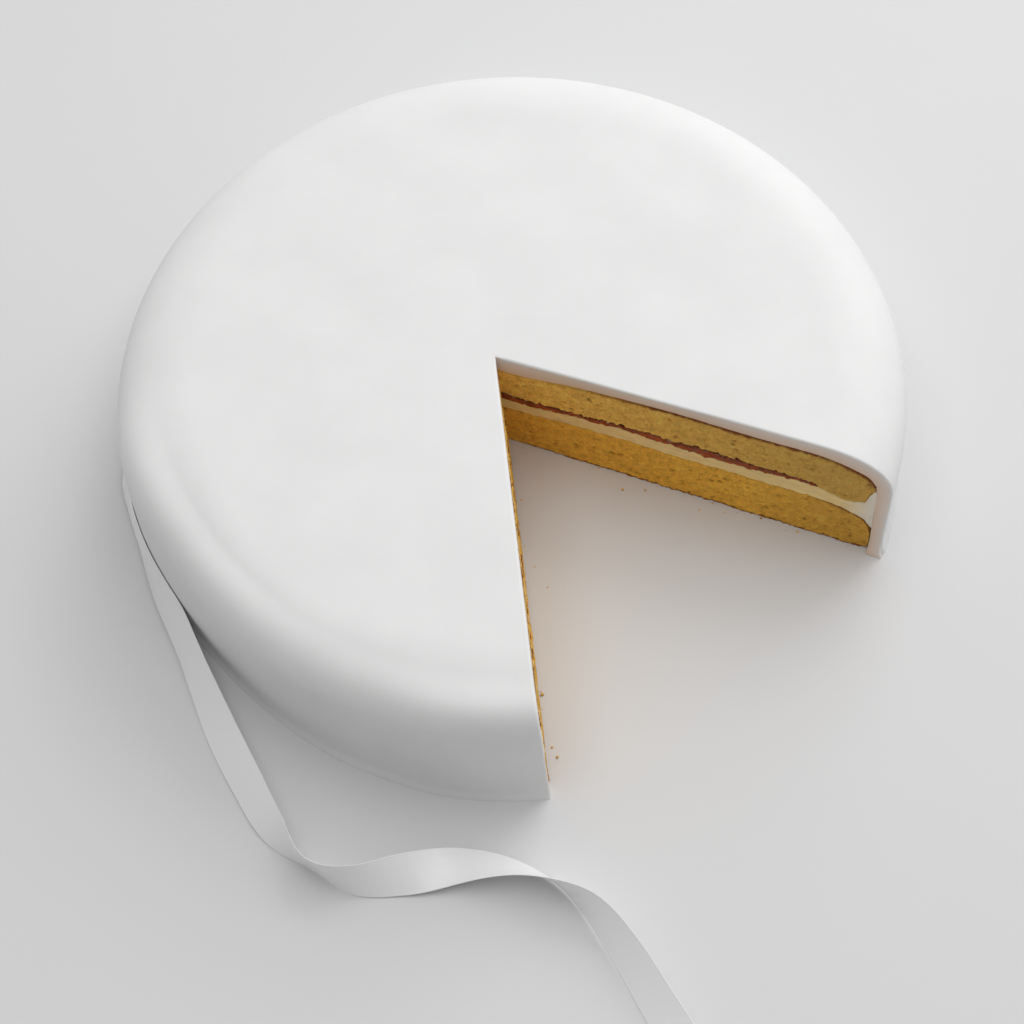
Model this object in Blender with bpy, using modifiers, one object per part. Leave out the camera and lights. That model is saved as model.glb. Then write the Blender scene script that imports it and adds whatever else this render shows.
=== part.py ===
"""Round sponge cake under white sugar icing, with one slice cut out and a satin ribbon.

The origin is the centre of the cake's underside and +Z is up. The cut slice opened
towards -Y and +X. Sizes are in metres; lengths are typed in millimetres times MM.
"""

import math

import bmesh
import bpy
from mathutils import Vector

MM = 0.001

# The iced cake
WALL_RADIUS = 124.9 * MM          # ten-inch round cake
CAKE_HEIGHT = 50.2 * MM
EDGE_REACH = 25.9 * MM            # how far in the rounded top edge starts
EDGE_DROP = 17.0 * MM             # how far down the rounded top edge ends
EDGE_POWER = 2.3                  # 2 is an ellipse, more is squarer
EDGE_SEGMENTS = 8
WAIST_RADIUS = 124.4 * MM         # the wall just above its foot
FOOT_RADIUS = 125.6 * MM          # lip of icing pressed out at the base
FOOT_HEIGHT = 2.6 * MM

# The layers inside, from the base up
GAP = 0.3 * MM                    # clearance between touching solids
LOWER_SPONGE_TOP = 21.0 * MM
JAM_BOTTOM = 26.8 * MM
JAM_TOP = 29.1 * MM
UPPER_SPONGE_TOP = 45.3 * MM
JAM_RADIUS = 99.6 * MM
COAT_RADIUS = 119.95 * MM         # outer side of the buttercream
COAT_HEIGHTS = (12.8 * MM, 19.5 * MM, 26.0 * MM, 33.0 * MM)
ICING_BORE = 120.25 * MM          # inner side of the icing's wall
RING_SPACING = 20.0 * MM          # distance between the rings of a flat layer
RING_REACH = 96.0 * MM

# The cut: where its two faces meet, and the way each face runs, at the top and at the base
CUT_TOP_APEX = (-4.5 * MM, 2.5 * MM)
CUT_BASE_APEX = (-1.5 * MM, 4.0 * MM)
CUT_TOP_ANGLES = (-86.35, -21.45)
CUT_BASE_ANGLES = (-86.4, -22.9)
CUT_REACH = 220.0 * MM
CUT_OVERRUN = 6.0 * MM

# Unevenness: height, dip in the middle and wave of each level of the cake
LEVELS = (
    (0.0, 0.0, 0.0),
    (LOWER_SPONGE_TOP, -1.2 * MM, 0.7 * MM),
    (JAM_BOTTOM, -1.2 * MM, 0.8 * MM),
    (JAM_TOP, -0.4 * MM, 0.9 * MM),
    (UPPER_SPONGE_TOP, -3.0 * MM, 0.6 * MM),
    (CAKE_HEIGHT, -0.7 * MM, 0.25 * MM),
)
DIP_RADIUS = 16.0 * MM
WAVE_LENGTHS = (83.0 * MM, 59.0 * MM, 43.0 * MM)
WAVE_FADE = (98.0 * MM, 112.0 * MM)

# The wall is drawn in on the front left, a little more at its foot, and stands out at the front
PUSH_REACH = (100.0 * MM, 119.0 * MM)
HOLLOW_DEPTH = 3.8 * MM
HOLLOW_ANGLES = (188.0, 213.0, 217.0, 253.0)
HOLLOW_FADE = (0.0, 12.0 * MM)
HOLLOW_EASING = 0.2
BULGE_DEPTH = 1.7 * MM
BULGE_ANGLES = (246.0, 262.0, 290.0, 310.0)

# At the front and left the top edge is tighter: its shoulder stands higher, less so in one place
SHOULDER_LIFT = 3.5 * MM
SHOULDER_REACH = (109.0 * MM, 124.9 * MM)
SHOULDER_FADE = (8.0 * MM, 34.0 * MM)
SHOULDER_ANGLES = (172.0, 200.0, 290.0, 320.0)
SHOULDER_SAG = 0.45
SAG_ANGLES = (222.0, 238.0, 248.0, 264.0)

# The ribbon: half an inch wide, stuck round the back and left, loose at the front
RIBBON_WIDTH = 12.7 * MM
RIBBON_THICKNESS = 0.4 * MM
RIBBON_START = 15.0               # degrees round the cake where the stuck end is
RIBBON_LEAVES = 169.0             # degrees where the ribbon starts to come away
RIBBON_RADIUS = 125.65 * MM
RIBBON_LIFT = 6.95 * MM           # height of the ribbon's middle line on the wall
RIBBON_LEAN = -5.0                # degrees, towards the cake
BAND_STEP = 7.0                   # degrees between stations on the wall
TAIL_STEPS = 4                    # rows between two stations of the loose tail
# Loose tail: x, y and z of the middle line in millimetres, and roll about it in degrees.
# At 0 the ribbon stands on edge, at -90 and -270 it lies flat.
TAIL = (
    (-125.1, 8.7, 7.0, -5.7),
    (-126.3, -6.6, 6.8, -15.0),
    (-123.7, -21.8, 6.9, -7.8),
    (-120.7, -32.3, 6.9, -6.8),
    (-117.3, -42.7, 6.8, -13.0),
    (-113.2, -52.8, 6.5, -22.6),
    (-108.5, -62.7, 6.1, -30.3),
    (-104.2, -73.5, 6.1, -31.5),
    (-100.2, -84.4, 5.8, -37.0),
    (-93.3, -102.0, 4.7, -48.0),
    (-85.7, -118.7, 4.9, -47.0),
    (-77.4, -135.1, 5.9, -34.0),
    (-66.3, -147.9, 6.7, 10.0),
    (-53.4, -153.6, 6.4, -19.0),
    (-38.0, -151.7, 4.3, -56.0),
    (-22.2, -149.1, 3.0, -98.0),
    (-7.1, -151.1, 4.9, -131.0),
    (6.5, -157.2, 6.6, -163.0),
    (17.7, -166.2, 6.4, -200.0),
    (26.8, -180.1, 5.4, -219.0),
    (35.6, -197.3, 4.6, -230.0),
    (44.7, -214.7, 3.4, -243.0),
    (52.9, -230.0, 2.1, -256.0),
)

TURN_STEPS = 60
SHARP_ANGLE = math.radians(38.0)


def clear_scene():
    """Remove every object of the open file."""
    for obj in list(bpy.data.objects):
        bpy.data.objects.remove(obj)


def new_collection(name):
    """Add a collection to the scene."""
    collection = bpy.data.collections.new(name)
    bpy.context.scene.collection.children.link(collection)
    return collection


def make_material(name, color, roughness, sheen=0.0):
    """Make a plain Principled material."""
    material = bpy.data.materials.new(name)
    material.use_nodes = True
    shader = material.node_tree.nodes["Principled BSDF"]
    shader.inputs["Base Color"].default_value = (*color, 1.0)
    shader.inputs["Roughness"].default_value = roughness
    shader.inputs["Metallic"].default_value = 0.0
    shader.inputs["Sheen Weight"].default_value = sheen
    material.diffuse_color = (*color, 1.0)
    return material


def ease(low, high, value):
    """Rise smoothly from 0 at low to 1 at high."""
    t = min(max((value - low) / (high - low), 0.0), 1.0)
    return t * t * (3.0 - 2.0 * t)


def plateau(angles, value):
    """Rise over the first two of four values and fall over the last two."""
    return ease(angles[0], angles[1], value) * (1.0 - ease(angles[2], angles[3], value))


def wave(x, y, level):
    """Sum of three slow waves across the cake, other ones at each level, between -1 and 1."""
    total = 0.0
    for i, length in enumerate(WAVE_LENGTHS):
        heading = 2.4 * i + 1.7 * level
        along = x * math.cos(heading) + y * math.sin(heading)
        total += math.sin(math.tau * along / length + 1.3 * level + i)
    return total / len(WAVE_LENGTHS)


def uneven(point):
    """Move a point of the even cake to its place in the real, uneven one."""
    x, y, z = point
    radius = math.hypot(x, y)
    dip = math.exp(-(radius / DIP_RADIUS) ** 2)
    calm = 1.0 - ease(*WAVE_FADE, radius)
    shifts = [depth * dip + height * calm * wave(x, y, i) for i, (_, depth, height) in enumerate(LEVELS)]
    upper = next((i for i in range(1, len(LEVELS)) if z <= LEVELS[i][0]), len(LEVELS) - 1)
    below, above = LEVELS[upper - 1][0], LEVELS[upper][0]
    share = min((z - below) / (above - below), 1.0)
    shift = shifts[upper - 1] * (1.0 - share) + shifts[upper] * share
    angle = math.degrees(math.atan2(y, x)) % 360.0
    hollow = HOLLOW_DEPTH * plateau(HOLLOW_ANGLES, angle) * (1.0 - HOLLOW_EASING * ease(*HOLLOW_FADE, z))
    push = (BULGE_DEPTH * plateau(BULGE_ANGLES, angle) - hollow) * ease(*PUSH_REACH, radius)
    lift = SHOULDER_LIFT * plateau(SHOULDER_ANGLES, angle) * (1.0 - SHOULDER_SAG * plateau(SAG_ANGLES, angle))
    lift *= ease(*SHOULDER_REACH, radius) * ease(*SHOULDER_FADE, z)
    scale = 1.0 + push / radius if radius > 0.0 else 1.0
    return Vector((x * scale, y * scale, z + shift + lift))


def rings(height, outwards):
    """Points of a flat layer, from the axis out or from its rim in."""
    count = int(RING_REACH / RING_SPACING)
    radii = [i * RING_SPACING for i in range(count + 1)] + [RING_REACH]
    if not outwards:
        radii.reverse()
    return [(radius, height) for radius in radii]


def turned(name, profile, collection, material):
    """Turn a profile of (radius, height) about Z, then make the solid uneven."""
    mesh = bpy.data.meshes.new(name)
    bm = bmesh.new()
    verts = [bm.verts.new((radius, 0.0, height)) for radius, height in profile]
    for start, end in zip(verts, verts[1:]):
        bm.edges.new((start, end))
    bm.to_mesh(mesh)
    bm.free()
    guide = bpy.data.objects.new(name + "_profile", mesh)
    collection.objects.link(guide)
    screw = guide.modifiers.new("turn", "SCREW")
    screw.axis = "Z"
    screw.steps = TURN_STEPS
    screw.render_steps = TURN_STEPS
    screw.use_merge_vertices = True
    screw.merge_threshold = 0.00001
    bpy.context.view_layer.update()
    solid = bpy.data.meshes.new_from_object(guide.evaluated_get(bpy.context.evaluated_depsgraph_get()))
    bpy.data.objects.remove(guide)
    solid.name = name
    for vertex in solid.vertices:
        vertex.co = uneven(vertex.co)
    solid.materials.clear()
    solid.materials.append(material)
    solid.shade_smooth()
    solid.set_sharp_from_angle(angle=SHARP_ANGLE)
    obj = bpy.data.objects.new(name, solid)
    collection.objects.link(obj)
    return obj


def make_cutter(collection):
    """Wedge that takes the slice out: its two faces lean a little."""
    bm = bmesh.new()
    lean = [top - base for top, base in zip(CUT_TOP_APEX, CUT_BASE_APEX)]
    for height in (-CUT_OVERRUN, CAKE_HEIGHT + CUT_OVERRUN):
        share = height / CAKE_HEIGHT
        apex = Vector((CUT_BASE_APEX[0] + lean[0] * share, CUT_BASE_APEX[1] + lean[1] * share, height))
        bm.verts.new(apex)
        for base_angle, top_angle in zip(CUT_BASE_ANGLES, CUT_TOP_ANGLES):
            angle = math.radians(base_angle + (top_angle - base_angle) * share)
            bm.verts.new(apex + CUT_REACH * Vector((math.cos(angle), math.sin(angle), 0.0)))
    bmesh.ops.convex_hull(bm, input=bm.verts)
    mesh = bpy.data.meshes.new("slice_cutter")
    bm.to_mesh(mesh)
    bm.free()
    cutter = bpy.data.objects.new("slice_cutter", mesh)
    cutter.hide_render = True
    cutter.display_type = "WIRE"
    collection.objects.link(cutter)
    return cutter


def cut_slice(obj, cutter):
    """Take the slice out of one layer."""
    cut = obj.modifiers.new("slice", "BOOLEAN")
    cut.operation = "DIFFERENCE"
    cut.solver = "EXACT"
    cut.object = cutter


def make_icing(collection, material):
    """Icing: a shell over the top and down the wall, with a rounded edge and a small foot."""
    edge_radius = WALL_RADIUS - EDGE_REACH
    edge_height = CAKE_HEIGHT - EDGE_DROP
    outside = [(0.0, CAKE_HEIGHT), (RING_SPACING, CAKE_HEIGHT), (2.5 * RING_SPACING, CAKE_HEIGHT)]
    for i in range(EDGE_SEGMENTS + 1):
        turn = math.radians(90.0 * i / EDGE_SEGMENTS)
        reach = EDGE_REACH * math.sin(turn) ** (2.0 / EDGE_POWER)
        rise = EDGE_DROP * max(math.cos(turn), 0.0) ** (2.0 / EDGE_POWER)
        outside.append((edge_radius + reach, edge_height + rise))
    foot = [
        (0.5 * (WALL_RADIUS + WAIST_RADIUS), 21.0 * MM),
        (WAIST_RADIUS, 12.0 * MM),
        (WAIST_RADIUS, FOOT_HEIGHT),
        (FOOT_RADIUS - 0.2 * MM, 0.35 * FOOT_HEIGHT),
        (FOOT_RADIUS, 0.0),
    ]
    bore = [(ICING_BORE, height) for height in (0.0, *COAT_HEIGHTS, 36.2 * MM)]
    inside = [
        (116.8 * MM, 40.7 * MM),
        (112.2 * MM, 42.5 * MM),
        (107.1 * MM, 44.1 * MM),
    ]
    profile = outside + foot + bore + inside + rings(UPPER_SPONGE_TOP + GAP, False)
    return turned("icing", profile, collection, material)


def make_upper_sponge(collection, material):
    """Upper sponge: its rim curls down past the end of the jam."""
    rim = [
        (107.0 * MM, 43.8 * MM),
        (112.0 * MM, 42.2 * MM),
        (116.4 * MM, 40.4 * MM),
        (119.8 * MM, 35.4 * MM),
        (118.9 * MM, 32.0 * MM),
        (117.5 * MM, 29.0 * MM),
        (116.7 * MM, 25.9 * MM),
        (112.0 * MM, 24.6 * MM),
        (108.0 * MM, 24.7 * MM),
        (101.0 * MM, 27.6 * MM),
    ]
    profile = rings(UPPER_SPONGE_TOP, True) + rim + rings(JAM_TOP + GAP, False)
    return turned("sponge_upper", profile, collection, material)


def make_jam(collection, material):
    """Jam: a thin disc that stops short of the sponge's rim."""
    rim = [(JAM_RADIUS, 27.5 * MM), (JAM_RADIUS - 0.4 * MM, JAM_BOTTOM)]
    profile = rings(JAM_TOP, True) + rim + rings(JAM_BOTTOM, False)
    return turned("jam", profile, collection, material)


def make_buttercream(collection, material):
    """Buttercream: a layer that flares out into a thin coat behind the icing."""
    crest = [
        (JAM_RADIUS - 0.1 * MM, JAM_BOTTOM - GAP),
        (JAM_RADIUS + 0.6 * MM, 27.1 * MM),
        (108.0 * MM, 24.35 * MM),
        (112.1 * MM, 24.25 * MM),
        (117.0 * MM, 25.7 * MM),
        (117.85 * MM, 28.9 * MM),
        (119.25 * MM, 31.9 * MM),
        (119.45 * MM, COAT_HEIGHTS[-1]),
    ]
    coat = [(COAT_RADIUS, height) for height in reversed(COAT_HEIGHTS)]
    shoulder = [
        (119.4 * MM, 13.5 * MM),
        (116.75 * MM, 17.2 * MM),
        (112.1 * MM, 18.95 * MM),
        (105.0 * MM, 20.75 * MM),
    ]
    rim = crest + coat + shoulder
    profile = rings(JAM_BOTTOM - GAP, True) + rim + rings(LOWER_SPONGE_TOP + GAP, False)
    return turned("buttercream", profile, collection, material)


def make_lower_sponge(collection, material):
    """Lower sponge: flat underneath, with a rounded shoulder."""
    rim = [
        (105.0 * MM, 20.4 * MM),
        (112.0 * MM, 18.6 * MM),
        (116.4 * MM, 16.9 * MM),
        (119.0 * MM, 13.2 * MM),
        (119.7 * MM, 10.0 * MM),
        (119.8 * MM, 5.0 * MM),
        (119.6 * MM, 0.0),
        (0.0, 0.0),
    ]
    return turned("sponge_lower", rings(LOWER_SPONGE_TOP, True) + rim, collection, material)


def route():
    """Middle line and roll of the ribbon, from its stuck end to its loose end."""
    stations = []
    count = round((RIBBON_LEAVES - RIBBON_START) / BAND_STEP)
    for i in range(count + 1):
        angle = math.radians(RIBBON_START + (RIBBON_LEAVES - RIBBON_START) * i / count)
        place = Vector((RIBBON_RADIUS * math.cos(angle), RIBBON_RADIUS * math.sin(angle), RIBBON_LIFT))
        stations.append((place, RIBBON_LEAN))
    tail = [(Vector((x, y, z)) * MM, roll) for x, y, z, roll in TAIL]
    joined = [stations[-1]] + tail
    joined.append((2.0 * tail[-1][0] - tail[-2][0], tail[-1][1]))
    smooth = []
    for i in range(1, len(joined) - 2):
        for k in range(TAIL_STEPS):
            smooth.append(spline(joined[i - 1:i + 3], k / TAIL_STEPS))
    return stations + smooth + [tail[-1]]


def spline(four, t):
    """Catmull-Rom curve between the middle two of four stations."""
    weights = (
        -0.5 * t + t * t - 0.5 * t ** 3,
        1.0 - 2.5 * t * t + 1.5 * t ** 3,
        0.5 * t + 2.0 * t * t - 1.5 * t ** 3,
        -0.5 * t * t + 0.5 * t ** 3,
    )
    place = Vector((0.0, 0.0, 0.0))
    roll = 0.0
    for weight, (point, angle) in zip(weights, four):
        place += weight * point
        roll += weight * angle
    return place, roll


def make_ribbon(collection, material):
    """Ribbon: a flat strip laid along its route, then given its thickness."""
    stations = route()
    last = len(stations) - 1
    bm = bmesh.new()
    bmesh.ops.create_grid(bm, x_segments=last, y_segments=1, size=0.5)
    bm.verts.ensure_lookup_table()
    for vertex in bm.verts:
        row = round((vertex.co.x + 0.5) * last)
        side = 1.0 if vertex.co.y > 0.0 else -1.0
        place, roll = stations[row]
        heading = (stations[min(row + 1, last)][0] - stations[max(row - 1, 0)][0]).normalized()
        outward = heading.cross(Vector((0.0, 0.0, 1.0))).normalized()
        upward = outward.cross(heading)
        turn = math.radians(roll)
        across = upward * math.cos(turn) + outward * math.sin(turn)
        vertex.co = place + 0.5 * side * RIBBON_WIDTH * across
    mesh = bpy.data.meshes.new("ribbon")
    bm.to_mesh(mesh)
    bm.free()
    mesh.materials.append(material)
    mesh.shade_smooth()
    obj = bpy.data.objects.new("ribbon", mesh)
    collection.objects.link(obj)
    thick = obj.modifiers.new("thickness", "SOLIDIFY")
    thick.thickness = RIBBON_THICKNESS
    thick.offset = 0.0
    return obj


def main():
    """Build the cake."""
    clear_scene()
    cake = new_collection("sponge_cake")
    cutter = make_cutter(new_collection("cutters"))
    icing = make_material("icing_white", (0.86, 0.85, 0.83), 0.5)
    crumb = make_material("sponge_crumb", (0.62, 0.39, 0.10), 0.9)
    golden = make_material("sponge_golden", (0.64, 0.36, 0.06), 0.9)
    jam = make_material("jam_red", (0.22, 0.03, 0.015), 0.3)
    cream = make_material("buttercream_pale", (0.83, 0.74, 0.52), 0.6)
    satin = make_material("ribbon_satin", (0.88, 0.88, 0.89), 0.35, 0.3)
    layers = [
        make_icing(cake, icing),
        make_upper_sponge(cake, crumb),
        make_jam(cake, jam),
        make_buttercream(cake, cream),
        make_lower_sponge(cake, golden),
    ]
    for layer in layers:
        cut_slice(layer, cutter)
    make_ribbon(cake, satin)


main()
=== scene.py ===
"""Looks of a round sponge cake under white sugar icing, with a slice cut out and a satin ribbon.

The file is laid out as an add-on: the panel holds the sizes and colours, and one operator
makes each piece. The origin is the centre of the cake's underside and +Z is up. Lengths
are metres, unless the words beside them say millimetres.
"""

import math
import random

import bmesh
import bpy
import numpy as np
from mathutils import Matrix, Vector, noise


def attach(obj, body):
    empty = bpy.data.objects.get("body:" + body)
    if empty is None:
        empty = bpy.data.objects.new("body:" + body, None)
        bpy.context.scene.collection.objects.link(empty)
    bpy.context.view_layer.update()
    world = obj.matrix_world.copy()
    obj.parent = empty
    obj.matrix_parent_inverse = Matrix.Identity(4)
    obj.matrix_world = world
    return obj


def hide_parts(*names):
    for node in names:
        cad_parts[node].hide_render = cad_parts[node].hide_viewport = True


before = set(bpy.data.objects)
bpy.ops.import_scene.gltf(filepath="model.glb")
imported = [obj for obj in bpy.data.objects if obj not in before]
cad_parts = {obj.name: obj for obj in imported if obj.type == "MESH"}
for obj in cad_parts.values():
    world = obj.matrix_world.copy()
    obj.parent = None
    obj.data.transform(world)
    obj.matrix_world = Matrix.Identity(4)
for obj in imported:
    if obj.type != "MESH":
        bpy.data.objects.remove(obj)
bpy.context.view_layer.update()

bl_info = {
    "name": "Iced sponge cake",
    "version": (1, 0, 0),
    "blender": (4, 5, 0),
    "location": "View3D > Sidebar > Cake",
    "description": "Makes a cut, iced sponge cake with jam, buttercream and a loose satin ribbon",
    "category": "Add Mesh",
}

MM = 0.001
BODY = "root"

# Heights of the layers, from the base up, and how uneven each level is
LOWER_SPONGE_TOP = 21.0 * MM
JAM_BOTTOM = 26.8 * MM
JAM_TOP = 29.1 * MM
UPPER_SPONGE_TOP = 45.3 * MM
CAKE_HEIGHT = 50.2 * MM
LEVELS = (  # height, dip in the middle, slow wave, ragged border
    (0.0, 0.0, 0.0, 0.0),
    (LOWER_SPONGE_TOP, -1.2 * MM, 0.7 * MM, 0.45 * MM),
    (JAM_BOTTOM, -1.2 * MM, 0.8 * MM, 0.4 * MM),
    (JAM_TOP, -0.4 * MM, 0.9 * MM, 1.0 * MM),
    (UPPER_SPONGE_TOP, -3.0 * MM, 0.6 * MM, 0.35 * MM),
    (CAKE_HEIGHT, -0.7 * MM, 0.25 * MM, 0.0),
)
DIP_RADIUS = 16.0 * MM
WAVE_LENGTHS = (83.0 * MM, 59.0 * MM, 43.0 * MM)
WAVE_FADE = (98.0 * MM, 112.0 * MM)
WAVE_TURN = 2.4  # radians from one wave's heading to the next one's
LEVEL_TURN = 1.7  # radians from one level's headings to the next one's
LEVEL_SHIFT = 1.3  # radians between the waves of one level and the next
RAGGED = ((0.6, 2.1 * MM, 7.3), (0.7, 6.5 * MM, 3.1))  # share, length and salt of each size of step
TORN_BIAS = (0.0, 0.0, -0.3, 0.5, 0.0, 0.0)  # spreads the jam's two borders a little apart

# The wall is drawn in on the front left, a little more at its foot, and stands out at the front
PUSH_REACH = (100.0 * MM, 119.0 * MM)
HOLLOW_DEPTH = 3.8 * MM
HOLLOW_ANGLES = (188.0, 213.0, 217.0, 253.0)
HOLLOW_FADE = (0.0, 12.0 * MM)
HOLLOW_EASING = 0.2
BULGE_DEPTH = 1.7 * MM
BULGE_ANGLES = (246.0, 262.0, 290.0, 310.0)

# At the front and left the top edge is tighter: its shoulder stands higher, less so in one place
SHOULDER_LIFT = 3.5 * MM
SHOULDER_REACH = (109.0 * MM, 124.9 * MM)
SHOULDER_FADE = (8.0 * MM, 34.0 * MM)
SHOULDER_ANGLES = (172.0, 200.0, 290.0, 320.0)
SHOULDER_SAG = 0.45
SAG_ANGLES = (222.0, 238.0, 248.0, 264.0)

# The cut: where its two faces meet and the way each runs, at the base and at the top
CUT_BASE_APEX = (-1.5 * MM, 4.0 * MM)
CUT_TOP_APEX = (-4.5 * MM, 2.5 * MM)
RIGHT_FACE_ANGLES = (-22.9, -21.45)
LEFT_FACE_ANGLES = (273.6, 273.65)
CENTRE_REACH = 20.0 * MM  # inside this radius, rays from the apex are evenly divided

# Outlines of the layers as radius and height in millimetres: the tops and the bottoms run from
# the axis outwards, the rims upwards, and the icing's wall and inside end at the cake's foot
ICING_WALL = ((124.65, 21.0), (124.4, 12.0), (124.4, 2.6), (125.4, 0.91), (125.6, 0.0))
ICING_INSIDE = (
    (0.0, 45.3), (98.0, 45.3), (107.1, 43.85), (112.2, 42.25), (116.8, 40.45), (119.9, 36.0),
    (120.1, 26.0), (120.1, 0.0),
)
UPPER_TOP = ((0.0, 45.3), (98.0, 45.3), (107.0, 43.8), (112.0, 42.2), (116.4, 40.4), (119.8, 35.4))
UPPER_RIM = ((116.7, 25.9), (117.5, 29.0), (118.9, 32.0), (119.8, 35.4))
UPPER_BOTTOM = ((0.0, 29.1), (97.5, 29.1), (101.0, 27.4), (108.0, 24.6), (112.0, 24.5), (116.7, 25.9))
JAM_OVER = ((0.0, 29.1), (97.5, 29.1), (101.4, 27.3))
JAM_RIM = ((101.0, 26.75), (101.4, 27.3))
JAM_UNDER = ((0.0, 26.8), (97.0, 26.8), (101.0, 26.75))
CREAM_TOP = (
    (0.0, 26.8), (98.0, 26.8), (101.2, 26.95), (108.0, 24.5), (112.1, 24.4), (116.8, 25.8),
    (117.75, 28.95), (119.1, 31.95), (119.5, 33.4),
)
CREAM_RIM = ((120.06, 12.6), (120.06, 19.5), (120.06, 26.0), (120.06, 32.8), (119.5, 33.4))
CREAM_BOTTOM = (
    (0.0, 21.0), (98.0, 21.0), (105.0, 20.5), (112.0, 18.7), (116.6, 17.0), (119.2, 13.4), (120.06, 12.6),
)
LOWER_TOP = (
    (0.0, 21.0), (98.0, 21.0), (105.0, 20.4), (112.0, 18.6), (116.4, 16.9), (119.0, 13.2), (119.7, 10.0),
)
LOWER_RIM = ((119.6, 0.0), (119.8, 5.0), (119.7, 10.0))
LOWER_BOTTOM = ((0.0, 0.0), (119.6, 0.0))

# Crusts: thickness in millimetres, strength, and the reach in millimetres where it starts and is full
UPPER_CRUST = (2.0, 0.95, 12.0, 45.0)
RIM_CRUST = (0.9, 0.7, 98.0, 106.0)
FOOT_CRUST = (1.0, 0.85, 0.0, 10.0)
NO_CRUST = (0.1, 0.0, 0.0, 1.0)
# The crumb darkens towards the wall: reach in millimetres where it starts and is full, and how much
UPPER_SHADE = (20.0, 108.0, 0.42)
LOWER_SHADE = (80.0, 110.0, 0.34)

# Steps of a swept layer: fine next to the two cut faces, coarse round the back
FIRST_ROW = 0.06 * MM  # the icing's first step, measured at the wall
FIRST_HIDDEN_ROW = 2.5 * MM  # the first step of the layers inside it
ROW_GROWTH = 1.5
SMOOTH_STEP = math.radians(2.0)  # the icing's longest step
HIDDEN_STEP = math.radians(10.0)  # the longest step of the layers inside it
EDGE_STEPS = 48  # steps over the icing's rounded top edge
SHARP_ANGLE = math.radians(50.0)  # edges that turn by more than this are shaded sharp

# Points through the thickness of each layer
ICING_ROWS = 6
UPPER_ROWS = 40
LOWER_ROWS = 50
JAM_ROWS = 8
CREAM_ROWS = 16

# Cut faces: inside these radii their relief and their rounded edges fade out towards the apex
RELIEF_FADE = 8.0 * MM
ROUNDING_FADE = 3.0 * MM
# The cut icing's warm tint is partly buttercream smeared by the knife and partly painted light that the
# sponge bounces into the icing
CUT_FADE = 0.3  # how much of the cut icing's tint is left at its outer side
TOE_DEPTH = 2.2 * MM  # toe of icing pressed out at the foot of the right face
TOE_HEIGHT = 6.0 * MM
TOE_REACH = (116.0 * MM, 121.0 * MM)
DRAG_DEPTH = 0.08 * MM  # marks of the knife on the icing
DRAG_LENGTH = 3.0 * MM
# Crumb: salt of its pattern and how far it is stretched sideways
UPPER_CRUMB = (5.0, 1.0)
LOWER_CRUMB = (17.0, 1.3)
# Pores: distance between them in millimetres, and radius of the widest as a share of that
LARGE_PORES = (2.9, 0.42)
SMALL_PORES = (1.3, 0.55)
SMALL_PORES_SHIFT = (31.0, 7.0, 3.0)
GRAIN_LENGTH = 1.1  # millimetres
SWELL_LENGTH = 6.0  # millimetres
# Smeared fillings: height and length of the relief, and salt
JAM_SMEAR = (0.55 * MM, 2.2 * MM, 3.0)
CREAM_SMEAR = (0.3 * MM, 3.5 * MM, 9.0)

# Ribbon: stuck round the back and left of the cake, loose at the front
RIBBON_START = 15.0  # degrees
RIBBON_LEAVES = 169.0  # degrees
RIBBON_RADIUS = 125.65 * MM
RIBBON_LIFT = 6.95 * MM
RIBBON_LEAN = -5.0  # degrees
BAND_STEP = 2.0  # degrees
TAIL_STEPS = 14  # steps between two stations of the tail
SELVEDGE_POINTS = 5  # points across a woven edge
SATIN_POINTS = 12  # points across the satin between the two woven edges
SATIN_SHARE = 0.72  # thickness of the satin, as a share of the woven edge's
SWELL_SHARE = 0.28  # what the woven edge adds to it
PINCH = 0.4  # share of the satin's thickness left at the very edge
RIB_SPACING = 0.35  # millimetres
STITCH_SPACING = 0.9  # millimetres
# Loose tail: x, y and z of the middle line in millimetres, and roll about it in degrees.
# At 0 the ribbon stands on edge, at -90 and -270 it lies flat.
TAIL = (
    (-125.1, 8.7, 7.0, -5.7),
    (-126.3, -6.6, 6.8, -15.0),
    (-123.7, -21.8, 6.9, -7.8),
    (-120.7, -32.3, 6.9, -6.8),
    (-117.3, -42.7, 6.8, -13.0),
    (-113.2, -52.8, 6.5, -22.6),
    (-108.5, -62.7, 6.1, -30.3),
    (-104.2, -73.5, 6.1, -31.5),
    (-100.2, -84.4, 5.8, -37.0),
    (-93.3, -102.0, 4.7, -48.0),
    (-85.7, -118.7, 4.9, -47.0),
    (-77.4, -135.1, 5.9, -34.0),
    (-66.3, -147.9, 6.7, 10.0),
    (-53.4, -153.6, 6.4, -19.0),
    (-38.0, -151.7, 4.3, -56.0),
    (-22.2, -149.1, 3.0, -98.0),
    (-7.1, -151.1, 4.9, -131.0),
    (6.5, -157.2, 6.6, -163.0),
    (17.7, -166.2, 6.4, -200.0),
    (26.8, -180.1, 5.4, -219.0),
    (35.6, -197.3, 4.6, -230.0),
    (44.7, -214.7, 3.4, -243.0),
    (52.9, -230.0, 2.1, -256.0),
)

# Loose crumbs: where they lie, how lumpy and how flat they are, and how dark
CRUMB_SEED = 11
RIGHT_SHARE = 0.6  # share of the crumbs that lie at the right face
CRUMB_REACH = (4.0, 118.0)  # millimetres from the apex, along a face
CRUMB_STRAY = 1.6  # millimetres from a face, on average
FARTHEST_STRAY = 9.0  # millimetres
CRUMB_GAP = 0.6 * MM  # kept free between a face and a crumb's middle
CRUMB_LUMPS = 0.55
CRUMB_FLATNESS = 0.75
CRUMB_LIFT = 0.02 * MM
CRUMB_TINT = 0.85

# Soft lights: side of the square and place. Their powers are among the stage's properties.
LIGHTS = {
    "top": (1.6, (0.0, 0.1, 1.6)),
    "back": (1.2, (0.7, 1.05, 0.95)),
    "side": (1.2, (1.3, 0.2, 0.7)),
}

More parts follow.
